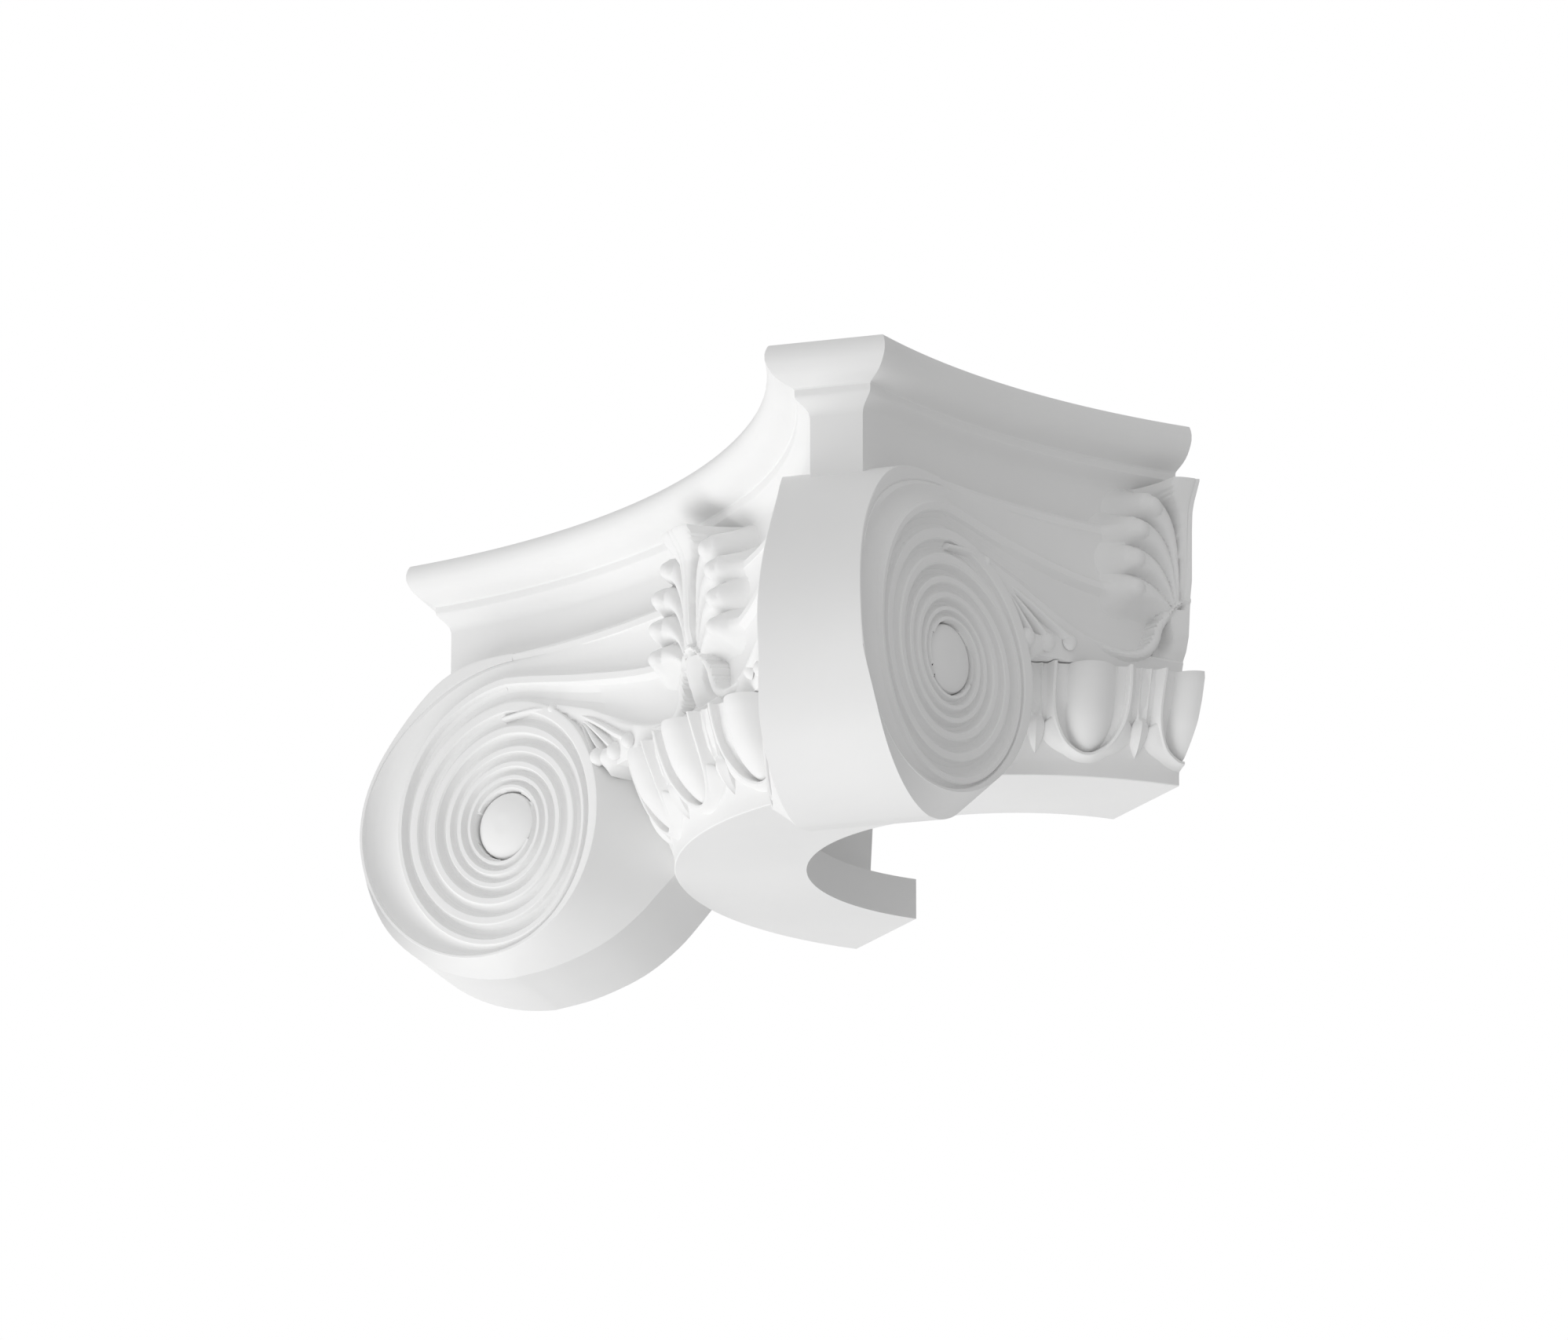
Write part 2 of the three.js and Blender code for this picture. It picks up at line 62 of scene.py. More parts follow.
# Column and body
NECK_R = 150.0
THROAT_R = 91.5
LIP_H = 18.5
CAVITY_R = 137.0
CAVITY_TOP_R = 124.0
CAVITY_TOP_Z = 140.0
BELL_R = 148.0
BELL_TOP_Z = 108
HOLLOW_LOW_Z = -20
ROUND_STEPS = 144

# Abacus
ABACUS_CORNER_X = 177.2
ABACUS_CORNER_N = 213.6
ABACUS_MID_N = 162.9
# How much shorter each hollow side gets for a millimetre of inset
ABACUS_NARROWING = 0.05
SIDE_STEPS = 40
# From the top down: height, and inset from the outline through the corners
ABACUS_PROFILE = [
    [159.3, 0.8], [158.8, 0.1], [157, -0.9], [155, -1.5], [152.5, -1.4], [150.5, -0.5], [148.5, 0.9],
    [147, 2.2], [145.6, 4.0], [144.4, 6.2], [143.4, 8.8], [142.6, 11.2], [142.1, 12.6], [141.4, 13.2],
    [139, 13.2], [138, 13.5], [136.8, 14.8], [135.6, 16.6], [134, 18.8], [132.4, 20.2], [130.4, 20.9],
    [104, 20.9],
]

# Faces that curve forward from the middle to the corner
FACE_MID_N = 154.0
FACE_CURVE = 0.29 / NECK_R

# Volutes
EYE_S = 136.4
EYE_Z = 29.6
EYE_R = 15.5
EYE_RISE = 1.8
EYE_EDGE = -1.6
TURN_RATIO = 1.585
TURN_STEPS = 108
TURNS = 4
QUARTER = 0.25
# Where the spiral starts, straight above the eye, in turns from level with the eye outside
SEAM = -0.25
COLUMN_TURNS = SEAM + np.arange(TURN_STEPS + 1) / TURN_STEPS
# Full depths, and depths of the narrowest ones with what each millimetre of width adds
CHANNEL_DEPTH = 5.0
CHANNEL_SHALLOW = 1.6
CHANNEL_PER_MM = 0.3
GROOVE_DEPTH = 3.6
GROOVE_SHALLOW = 1.0
GROOVE_PER_MM = 0.5
GROOVE_FLOOR = 6.0
# The disc lies back at its top, and comes forward over this part of a turn before the eye's level
TOP_RECESS = 5.0
RECESS_TURNS = 0.16
# The rim swells where the block's outline meets the fascia
SWELL = 4
SWELL_TURN = -0.183
SWELL_REACH = 0.05
# Edge of the raised eye, as inset and height, and shares of its radius further in
EYE_EDGE_SECTION = [(0, -GROOVE_FLOOR), (0.4, -2.6), (1.0, EYE_EDGE)]
EYE_RINGS = (0.8, 0.6, 0.4, 0.2)

# Corner blocks
BLOCK_D = 223.5
# Radii of its outline round the eye, at equal angles from straight below up to the fascia
BLOCK_LOW = math.radians(-90)
BLOCK_TOP = math.radians(66)
BLOCK_RADII = [68.3, 73.2, 77.6, 84.8]
# Half the band's width, level with the eye and at its lowest
BLOCK_HALF_MID = 24.4
BLOCK_HALF_LOW = 29.0
# Past its lowest point the outline runs in under the bell: distance along the diagonal and height
BLOCK_TAIL = [[223.5, -38.7], [204, -35.0], [182, -26.5], [165, -14.5], [150, 0.5], [140, 3]]
BLOCK_TAIL_STEP = math.radians(18)
# Turns over which the band leaves the disc's rim for the block's outline, and its share of the rim's width
BLOCK_BLEND = 0.1
RIM_BACK = 0.97
# Shares by which the band behind the spiral's start lies nearer the block's middle and the eye's level
SEAM_TO_MIDDLE = 0.3
SEAM_TO_EYE = 0.1
SEAM_BACK = 0.9
# From this turn on the band runs straight back, to this distance in front of the wall
SKIRT_TURN = 0.42
SKIRT_BLEND = 0.1
SKIRT_BACK_N = 118.0
SIDE_ROWS = 6
# A bar inside the block that ties it to the body: distance along the diagonal, across it and height
CORE = {"low": (100, -25, 3), "high": (225, 25, 106)}
CANAL_BACK_N = 100.0

FACE_ANGLES = [-math.pi / 2, 0, math.pi / 2]
BELT_STEP = math.radians(16.6)
BELT_TOP_Z = 45.5
# Furthest from the middle of the front that an egg or dart still reaches past the wall's plane
EGG_LIMIT = math.radians(100)
DART_LIMIT = math.radians(92)


def mix(a, b, t):
    return a + (b - a) * t


def smooth(t):
    t = np.clip(t, 0, 1)
    return t * t * (3 - 2 * t)


def through(values, start, step):
    """A smooth curve through values that stand at equal steps from start."""
    values = np.asarray(values, float)
    last = len(values) - 1

    def at(t):
        u = np.clip((np.asarray(t, float) - start) / step, 0, last)
        i = np.minimum(last - 1, u.astype(int))
        f = u - i
        p0, p1, p2, p3 = (values[np.clip(i + k, 0, last)] for k in (-1, 0, 1, 2))
        bend = f * (p2 - p0 + f * (2 * p0 - 5 * p1 + 4 * p2 - p3 + f * (3 * (p1 - p2) + p3 - p0)))
        return p1 + 0.5 * bend

    return at


# Points on a face, s along its plan curve from the middle and h in front of it

def slope_at(x):
    return 2 * FACE_CURVE * x


def arc_at(x):
    slope = slope_at(x)
    return 0.5 * x * np.hypot(1, slope) + np.arcsinh(slope) / (4 * FACE_CURVE)


def x_at(s):
    x = np.asarray(s, float).copy()
    for _ in range(6):
        x -= (arc_at(x) - s) / np.hypot(1, slope_at(x))
    return x


def face_points(s, z, h):
    s, z, h = np.broadcast_arrays(np.asarray(s, float), np.asarray(z, float), np.asarray(h, float))
    x = x_at(s)
    slope = slope_at(x)
    length = np.hypot(1, slope)
    return np.stack([x - slope * h / length, FACE_MID_N + FACE_CURVE * x * x + h / length, z], -1)


class Shell:
    """Grids of points and the faces between them, which together close a solid."""

    def __init__(self):
        self.points = []
        self.faces = []
        self.count = 0

    def add(self, points):
        points = np.asarray(points, float)
        ids = np.arange(points[..., 0].size).reshape(points.shape[:-1]) + self.count
        self.points.append(points.reshape(-1, 3))
        self.count += ids.size
        return ids

    def grid(self, points, flip=False, closed=False):
        ids = self.add(points)
        across = np.roll(ids, -1, axis=1) if closed else ids[:, 1:]
        here = ids if closed else ids[:, :-1]
        quads = np.stack([here[:-1], across[:-1], across[1:], here[1:]], -1).reshape(-1, 4)
        self.faces.extend((quads[:, ::-1] if flip else quads).tolist())
        return ids

    def cap(self, ring, flip=False):
        self.faces.append(list(ring[::-1] if flip else ring))

    def mesh(self, name):
        """A welded mesh in the row frame, with its faces pointing out."""
        points = (np.concatenate(self.points) * [1, -1, 1] - [0, 0, WALL_MOUNT_Z]) * MM
        mesh = bpy.data.meshes.new(name)
        mesh.from_pydata(points, [], self.faces)
        work = bmesh.new()
        work.from_mesh(mesh)
        bmesh.ops.remove_doubles(work, verts=work.verts, dist=WELD)
        if work.calc_volume(signed=True) < 0:
            bmesh.ops.reverse_faces(work, faces=work.faces)
        loose = [edge for edge in work.edges if len(edge.link_faces) != 2]
        if loose:
            place = loose[0].verts[0].co / MM
            raise RuntimeError(f"{name} isn't closed: {len(loose)} edges, one near {place}")
        work.to_mesh(mesh)
        work.free()
        return mesh


def solid(name, shell):
    item = bpy.data.objects.new(name, shell.mesh(name))
    bpy.context.scene.collection.objects.link(item)
    return item


def loft(rings):
    """A closed shell through rings of equally many points, with flat ends."""
    shell = Shell()
    ids = shell.grid(np.asarray(rings), closed=True)
    shell.cap(ids[0], flip=True)
    shell.cap(ids[-1])
    return shell


def lathe(profile, steps):
    """A turned solid around the column's axis. The profile starts and ends on the axis."""
    angles = np.arange(steps) / steps * TAU
    rings = [np.stack([r * np.cos(angles), r * np.sin(angles), np.full(steps, z)], -1) for r, z in profile]
    return loft(rings)


def turned(item, angle):
    """A copy of a solid, turned about the column's axis."""
    copy = item.copy()
    copy.data = item.data.copy()
    copy.data.transform(Matrix.Rotation(angle, 4, "Z"))
    bpy.context.scene.collection.objects.link(copy)
    return copy


def combine(base, other, operation):
    """Joins the other solid to the base or cuts it away, and removes it."""
    modifier = base.modifiers.new("join", "BOOLEAN")
    modifier.operation = operation
    modifier.solver = "MANIFOLD"
    modifier.object = other
    evaluated = base.evaluated_get(bpy.context.evaluated_depsgraph_get())
    mesh = bpy.data.meshes.new_from_object(evaluated)
    if not mesh.polygons:
        raise RuntimeError(f"{operation} of {base.name} and {other.name} left nothing")
    base.modifiers.clear()
    base.data = mesh
    bpy.data.objects.remove(other)
    return base


def unite(items):
    base, *others = items
    for other in others:
        combine(base, other, "UNION")
    return base


# Abacus, neck, bell and hollow

def abacus_outline(inset):
    """Four hollow arcs with cut corners between them, at an inset from the outline through the corners."""
    half_chord = ABACUS_CORNER_X - ABACUS_NARROWING * inset
    corner_n = ABACUS_CORNER_N - inset
    sag = ABACUS_CORNER_N - ABACUS_MID_N
    radius = (half_chord ** 2 + sag ** 2) / (2 * sag)
    reach = math.asin(half_chord / radius)
    a = reach * np.linspace(-1, 1, SIDE_STEPS + 1)
    x, n = radius * np.sin(a), corner_n - sag + radius * (1 - np.cos(a))
    sides = [(x, n), (n, -x), (-x, -n), (-n, x)]
    return np.concatenate([np.stack(side, -1) for side in sides])


def abacus():
    rings = []
    for z, inset in ABACUS_PROFILE:
        outline = abacus_outline(inset)
        rings.append(np.column_stack([outline, np.full(len(outline), z)]))
    return solid("abacus", loft(rings))


def body():
    profile = [
        [0, 0], [149.6, 0], [NECK_R, 0.4], [NECK_R, 5], [150.5, 8], [151.8, 12], [154.4, 18], [158.6, 24],
        [162.6, 30], [165.4, 38], [166.6, BELT_TOP_Z], [151, 46.3], [150.5, 48], [BELL_R, 54],
        [BELL_R, BELL_TOP_Z], [0, BELL_TOP_Z],
    ]
    return solid("body", lathe(profile, ROUND_STEPS))


def hollow():
    profile = [
        [0, HOLLOW_LOW_Z], [THROAT_R, HOLLOW_LOW_Z], [THROAT_R, LIP_H], [CAVITY_R, LIP_H],
        [CAVITY_TOP_R, CAVITY_TOP_Z], [0, CAVITY_TOP_Z],
    ]
    return solid("hollow", lathe(profile, ROUND_STEPS))


def box_shell(low, high):
    (x0, n0, z0), (x1, n1, z1) = low, high
    ring = [(x0, n0), (x1, n0), (x1, n1), (x0, n1)]
    return loft([[(x, n, z) for x, n in ring] for z in (z0, z1)])


# Volutes

def line_radius(first_turn, steady):
    """Radius of one of the volute's lines from the eye, by turns inwards from level with the eye outside."""
    early = through(first_turn, SEAM, QUARTER)
    return lambda turn: np.where(turn < SEAM + 1, early(turn), steady * TURN_RATIO ** (1 - turn))


def rim_outer(turn):
    swell = SWELL * np.exp(-((turn - SWELL_TURN) / SWELL_REACH) ** 2)
    return rim_steady(turn) + swell


rim_steady = line_radius([80.5, 76.6, 59, 54.9, 56.9], 50.7)
rim_inner = line_radius([77.5, 75, 57.5, 49.5, 52], 46.4)
ridge_outer = line_radius([69, 57, 55, 47.4, 46], 41)
ridge_inner = line_radius([64.5, 54.5, 51.7, 45.2, 41.2], 36.7)

# Across one turn: a rim, a channel, a ridge and a groove, each by shares of its width and of its depth
RIM_SECTION = [(0, -0.3), (0.14, 0), (0.86, 0), (1, -0.5)]
CHANNEL_SECTION = [(0.035, 0.42), (0.18, 0.8), (0.4, 1), (0.62, 0.96), (0.84, 0.7), (0.965, 0.42)]
RIDGE_SECTION = [(0, -0.4), (0.18, 0.3), (0.82, 0.3), (1, -0.4)]
GROOVE_SECTION = [(0.08, 0.6), (0.32, 1), (0.68, 1), (0.92, 0.6)]
LINES = len(RIM_SECTION) + len(CHANNEL_SECTION) + len(RIDGE_SECTION) + len(GROOVE_SECTION)


def turn_lines(turn):
    """Radii and heights of one turn's lines, from the rim inwards."""
    rim_a, rim_b = rim_outer(turn), rim_inner(turn)
    ridge_c, ridge_d = ridge_outer(turn), ridge_inner(turn)
    following = rim_outer(turn + 1)
    recess = -TOP_RECESS * (1 - smooth((turn + RECESS_TURNS) / RECESS_TURNS))
    channel = np.minimum(CHANNEL_DEPTH, CHANNEL_SHALLOW + CHANNEL_PER_MM * (rim_b - ridge_c))
    groove = np.minimum(GROOVE_DEPTH, GROOVE_SHALLOW + GROOVE_PER_MM * (ridge_d - following))
    radii, heights = [], []
    for share, lift in RIM_SECTION:
        radii.append(mix(rim_a, rim_b, share))
        heights.append(recess + lift)
    for share, depth in CHANNEL_SECTION:
        radii.append(mix(rim_b, ridge_c, share))
        start = recess * (1 - share)
        heights.append(np.minimum(start, -channel * depth) if share < 0.5 else -channel * depth)
    for share, lift in RIDGE_SECTION:
        radii.append(mix(ridge_c, ridge_d, share))
        heights.append(np.full_like(turn, lift))
    for share, depth in GROOVE_SECTION:
        radii.append(mix(ridge_d, following, share))
        heights.append(-groove * depth)
    return radii, heights


def volute_grid():
    """Points of one carved disc: columns around the eye, each from the rim to the eye."""
    radii, heights = [], []
    for k in range(TURNS + 1):
        r, h = turn_lines(COLUMN_TURNS + k)
        radii += r
        heights += h
    count = LINES * TURNS + 1
    radii, heights = np.array(radii[:count]).T, np.array(heights[:count]).T
    inside = radii <= EYE_R
    radii = np.where(inside, EYE_R, radii)
    heights = np.where(inside, -GROOVE_FLOOR, heights)
    angle = (-COLUMN_TURNS * TAU)[:, None]
    return face_points(EYE_S + radii * np.cos(angle), EYE_Z + radii * np.sin(angle), heights)


def eye_grid():
    """Rings of the raised eye, from its foot to near its middle."""
    angle = -COLUMN_TURNS[:-1] * TAU
    rows = [(EYE_R - inset, height) for inset, height in EYE_EDGE_SECTION]
    for share in EYE_RINGS:
        rows.append((EYE_R * share, mix(EYE_RISE, EYE_EDGE, share ** 2)))
    grid = [face_points(EYE_S + r * np.cos(angle), EYE_Z + r * np.sin(angle), h) for r, h in rows]
    return np.array(grid)


def to_diagonal(p):
    """Points as distance along the corner's diagonal, distance across it, and height."""
    along = p[..., 0] + p[..., 1]
    across = p[..., 1] - p[..., 0]
    return np.stack([along, across, p[..., 2] * ROOT_2], -1) / ROOT_2


def from_diagonal(d, t, z):
    return np.stack([(d - t) / ROOT_2, (d + t) / ROOT_2, z], -1)


tail_d = through([d for d, _ in BLOCK_TAIL], 0, 1)
tail_z = through([z for _, z in BLOCK_TAIL], 0, 1)
block_radius = through(BLOCK_RADII, BLOCK_LOW, (BLOCK_TOP - BLOCK_LOW) / (len(BLOCK_RADII) - 1))


def block_outline(angle):
    """The corner block's outline along the diagonal and up, at an angle round the eye."""
    radius = block_radius(angle)
    along = (BLOCK_LOW - angle) / BLOCK_TAIL_STEP
    round_part = angle >= BLOCK_LOW
    d = np.where(round_part, BLOCK_D + radius * np.cos(angle), tail_d(along))
    z = np.where(round_part, EYE_Z + radius * np.sin(angle), tail_z(along))
    half = mix(BLOCK_HALF_MID, BLOCK_HALF_LOW, np.clip(angle / BLOCK_LOW, 0, 1))
    return d, z, half


def corner_block():
    """The block with a carved disc on both faces and the plain band between them."""
    disc = volute_grid()
    rim = disc[:, 0]
    seam = disc[0, 1:LINES][::-1]
    front = np.concatenate([rim, seam])
    d, t, z = np.moveaxis(to_diagonal(front), -1, 0)
    turn = np.concatenate([COLUMN_TURNS, np.full(len(seam), SEAM + 1)])
    block_d, block_z, block_half = block_outline(-turn * TAU)
    blend = smooth(turn / BLOCK_BLEND)
    band_t = mix(RIM_BACK * t, block_half, blend)
    band = np.stack([mix(d, block_d, blend), band_t, mix(z, block_z, blend)], -1)
    inner = (np.arange(len(front)) > TURN_STEPS)[:, None]
    seam_t = np.minimum(BLOCK_HALF_LOW, SEAM_BACK * t)
    seam_back = np.stack([mix(d, BLOCK_D, SEAM_TO_MIDDLE), seam_t, mix(z, EYE_Z, SEAM_TO_EYE)], -1)
    band = np.where(inner, seam_back, band)
    straight = smooth((turn - SKIRT_TURN) / SKIRT_BLEND)[:, None] * ~inner
    skirt_back = to_diagonal(np.stack([front[:, 0], np.full(len(front), SKIRT_BACK_N), z], -1))
    waist = from_diagonal(*mix(band, skirt_back, straight).T)
    mirror = [1, 0, 2]
    skirt = [mix(front, waist, k / SIDE_ROWS) for k in range(SIDE_ROWS + 1)]
    rows = skirt + [row[:, mirror] for row in skirt[::-1]]
    shell = Shell()
    shell.grid(np.array(rows), flip=True, closed=True)
    for mirrored in (False, True):
        order = mirror if mirrored else [0, 1, 2]
        shell.grid(disc[..., order], flip=not mirrored)
        ids = shell.grid(eye_grid()[..., order], flip=mirrored, closed=True)
        shell.cap(ids[-1], flip=mirrored)
    return solid("corner", shell)


def corner_core():
    low, high = CORE["low"], CORE["high"]
    core = box_shell((low[1], low[0], low[2]), (high[1], high[0], high[2]))
    item = solid("core", core)
    item.data.transform(Matrix.Rotation(math.radians(45), 4, "Z"))
    return item


# The channels that run from volute to volute across the middle of a face

def canal_line(heights):
    return through(heights, 0, EYE_S / 3)


canal_top = canal_line([112.5, 112.5, 111.8, EYE_Z + rim_outer(SEAM)])
canal_rim = canal_line([106.5, 106.8, 106.8, EYE_Z + rim_inner(SEAM)])
canal_ridge_top = canal_line([83, 85, 91.8, EYE_Z + ridge_outer(SEAM)])
canal_ridge_low = canal_line([79, 80.6, 87, EYE_Z + ridge_inner(SEAM)])
canal_edge = canal_line([55.5, 58.3, 75.5, EYE_Z + rim_outer(SEAM + 1)])
CANAL_STEP = 2.4
CANAL_PAST = 6.0
CANAL_SINK = 4.0
CANAL_MID_Z = 95
CANAL_BACK_SHARE = 0.8
# The rim's lines at the middle of a face: height, and how sharply each turns up to the volute's
RIM_MIDDLE = [(-16.0, 6), (-4.5, 4), (-2.2, 2), (-2.0, 2)]
RIM_TOP_STEP = 0.6
RIM_CREST = 0.45
BAND_FOOT_Z = 46.0
# Below the channels: a ridge and a plain band down to the belt, by shares of the way and heights
BAND_SECTION = [
    (0, -1.4), (0.03, -0.2), (0.1, 0.6), (0.18, 0.8), (0.28, 0.4), (0.4, 0), (0.55, -0.4), (0.7, -0.8),
    (0.85, -1.4), (1, -2.5),
]
BAND_RIDGE = 5
# The band lies deeper towards the volutes, and is buried where it would cross the disc
VALLEY = 5.0
VALLEY_START = 62
VALLEY_REACH = 26
DISC_EDGE_R = 56.0
BURIED_REACH = 2
BURIED_H = -9.0


def canal_lines(along):
    """Heights above the neck and above the face of the channels' lines, at distances from the middle."""
    share = along / EYE_S
    _, seam = turn_lines(np.array(SEAM))
    seam = [float(h) for h in seam]
    top, rim, edge = canal_top(along), canal_rim(along), canal_edge(along)
    ridge_top, ridge_low = canal_ridge_top(along), canal_ridge_low(along)
    lines = []
    rim_lines = [top, top - RIM_TOP_STEP, mix(top, rim, RIM_CREST), rim]
    for z, (middle, power), volute in zip(rim_lines, RIM_MIDDLE, seam):
        lines.append((z, mix(middle, volute, share ** power)))
    place = len(RIM_SECTION)
    for part, depth in CHANNEL_SECTION:
        lines.append((mix(rim, ridge_top, part), mix(-CHANNEL_DEPTH * depth, seam[place], share)))
        place += 1
    for part, lift in RIDGE_SECTION:
        lines.append((mix(ridge_top, ridge_low, part), np.full_like(share, lift)))
        place += 1
    for part, depth in GROOVE_SECTION:
        lines.append((mix(ridge_low, edge, part), mix(-CHANNEL_DEPTH * depth, seam[place], share)))
        place += 1
    valley = -VALLEY * smooth((along - VALLEY_START) / VALLEY_REACH)
    for k, (part, lift) in enumerate(BAND_SECTION):
        z = mix(edge, BAND_FOOT_Z, part)
        from_eye = np.hypot(along - EYE_S, z - EYE_Z)
        buried = smooth((DISC_EDGE_R - from_eye) / BURIED_REACH)
        lines.append((z, mix(lift + valley * min(1, k / BAND_RIDGE), BURIED_H, buried)))
    return lines


def canal():
    steps = round(EYE_S / CANAL_STEP)
    half = np.concatenate([np.linspace(0, EYE_S, steps + 1), [EYE_S + CANAL_PAST]])
    s = np.concatenate([-half[:0:-1], half])
    along = np.minimum(np.abs(s), EYE_S)
    sink = np.where(np.abs(s) > EYE_S, CANAL_SINK, 0)
    lines = canal_lines(along)
    front = []
    for z, h in lines:
        pinch = np.sign(z - CANAL_MID_Z) * (sink > 0)
        front.append(face_points(s, z - pinch, h - sink))
    x = CANAL_BACK_SHARE * x_at(s)
    back = [np.stack([x, np.full(len(x), CANAL_BACK_N), z], -1) for z in (lines[-1][0], lines[0][0])]
    return solid("canal", loft(np.moveaxis(np.concatenate([front, back]), 0, 1)))


# Forms on a face

def arched(stations, arch, back=6.0, power=0.8):
    """Rings of an arched, flat-backed form along stations of (s, z, half-width, height)."""
    stations = np.asarray(stations, float)
    along = np.gradient(stations[:, :2], axis=0)
    along /= np.maximum(np.linalg.norm(along, axis=1), 1e-9)[:, None]
    across = np.stack([along[:, 1], -along[:, 0]], -1)
    a = np.linspace(0, math.pi, arch)
    reach = stations[:, 2, None] * np.cos(a)
    s = stations[:, 0, None] + across[:, 0, None] * reach
    z = stations[:, 1, None] + across[:, 1, None] * reach
    h = mix(stations[:, 3, None] - back, stations[:, 3, None], np.sin(a) ** power)
    return face_points(s, z, h)


def along_curve(points, count):
    """Evenly spaced stations on a smooth curve through the points."""
    points = np.asarray(points, float)
    t = np.linspace(0, len(points) - 1, count)
    return np.stack([through(points[:, k], 0, 1)(t) for k in range(points.shape[1])], -1)


# Palmette: a raised pad, carved as one height over the face

PAD_HALF_W = 46.0
PAD_LOW_Z = 46.5
PAD_TOP_Z = 133.0
PAD_COLUMNS = 51
PAD_ROWS = 92
# Columns stand closer together near the middle
PAD_SPREAD = 1.15
PAD_BACK_SHARE = 0.95
FASCIA_H = -12.6
# Further than any height or distance on the pad
FAR_H = 50.0
# Heights of the leaf's spine, from the belt up to the forward-curling tip
SPINE_Z = [46, 52.5, 58.5, 64.7, 73, 82, 89, 112, 119.6, 124, 127.8, 132.2, 133]
SPINE_H = [-3, -1.2, 3.5, 5.9, 6.8, 7.7, 9.2, 9.7, 10.3, 11.9, 14.3, 16.9, 16.9]
LEAF_Z = [66, 74, 84, 94, 104, 114, 119, 122, 125, 129, 133]
LEAF_HALF_W = [2.4, 2.9, 3.3, 3.7, 4.3, 5.4, 6.6, 8.4, 10.6, 12.6, 13.2]
LEAF_CROWN = 4.5
VEIN_S = 1.7
VEIN_HALF_W = 0.5
VEIN_DEPTH = 0.5
# Petals: root, bend and tip, as (s, z)
PETALS = [
    [(5, 75), (4.5, 118), (20.5, 121.5)], [(5.5, 75), (8, 110), (28, 109.5)],
    [(6, 74.5), (12, 97), (30, 96)], [(7, 74), (16, 84), (30, 82.5)],
]
PETAL_T = [0, 0.3, 0.6, 0.85, 1]
PETAL_HALF_W = [1.3, 2.4, 3.7, 5.2, 5.6]
PETAL_H = [5.6, 6.6, 8.0, 8.2, 8.4]
PETAL_START = 0.04
PETAL_STEPS = 60
PETAL_CROWN = 4.2
PETAL_SQUARE = 2.4
PETAL_ROUND = 0.6
# A knob near the petal's tip, a little below its line
KNOB_STATION = -4
KNOB_DROP = 0.5
KNOB_R = 4.3
KNOB_RISE = 2.6
# The ground rises to the carving's edge, which is lower beside the stem
COVE = 8.5
COVE_SINK = 0.5
COVE_EDGE_TOP = 4.4
COVE_EDGE_LOW = 2.0
COVE_EDGE_Z = 76
COVE_EDGE_REACH = 12
# The band that runs in from the volute below the channel and turns up to the tie
RIBBON = [(10, 73), (13.6, 67.5), (15.2, 61.5), (19, 56.3), (27, 53.4), (38, 54), (52, 57.5)]
RIBBON_HALF_W = [2.0, 2.4, 2.6, 2.6, 2.4, 2.0, 1.2]
RIBBON_H = [5.6, 4.8, 3.8, 3.2, 2.4, 1.4, 0]
RIBBON_CROWN = 3
RIBBON_STEPS = 50
STEM_Z = [46, 50, 53, 57.5, 62, 66, 71, 76]
STEM_HALF_W = [14.5, 13.4, 11, 7, 6.2, 7, 8.6, 8]
STEM_CROWN = 2.6
STEM_COVE = 5
# The tie round the foot of the leaf and petals, which hangs at both ends
TIE_Z = 80.2
TIE_SAG = 6.6
TIE_HALF_W = 9.4
TIE_SAG_END = 1.2
TIE_END_S = 10.5
TIE_HALF_H = 1.0
TIE_RISE = 0.7
TIE_FALL = 1.4


def nearest(s, z, path, widths):
    """How far in its own width each point is from a path, the surplus distance, and where along it."""
    path = np.asarray(path, float)
    away = np.hypot(s[..., None] - path[:, 0], z[..., None] - path[:, 1])
    ratio = away / widths
    at = np.argmin(ratio, axis=-1)
    surplus = np.min(away - widths, axis=-1)
    return np.min(ratio, axis=-1), surplus, at


def ground_height(s, z):
    """Heights of the channels and the fascia that the pad stands on."""
    ground = np.full(s.shape, FASCIA_H)
    for column in range(s.shape[1]):
        lines = canal_lines(s[:1, column])
        low_to_top = [(float(a[0]), float(b[0])) for a, b in lines[::-1]]
        heights, rises = zip(*low_to_top)
        ground[:, column] = np.interp(z[:, column], heights, rises, right=FASCIA_H)
    return ground


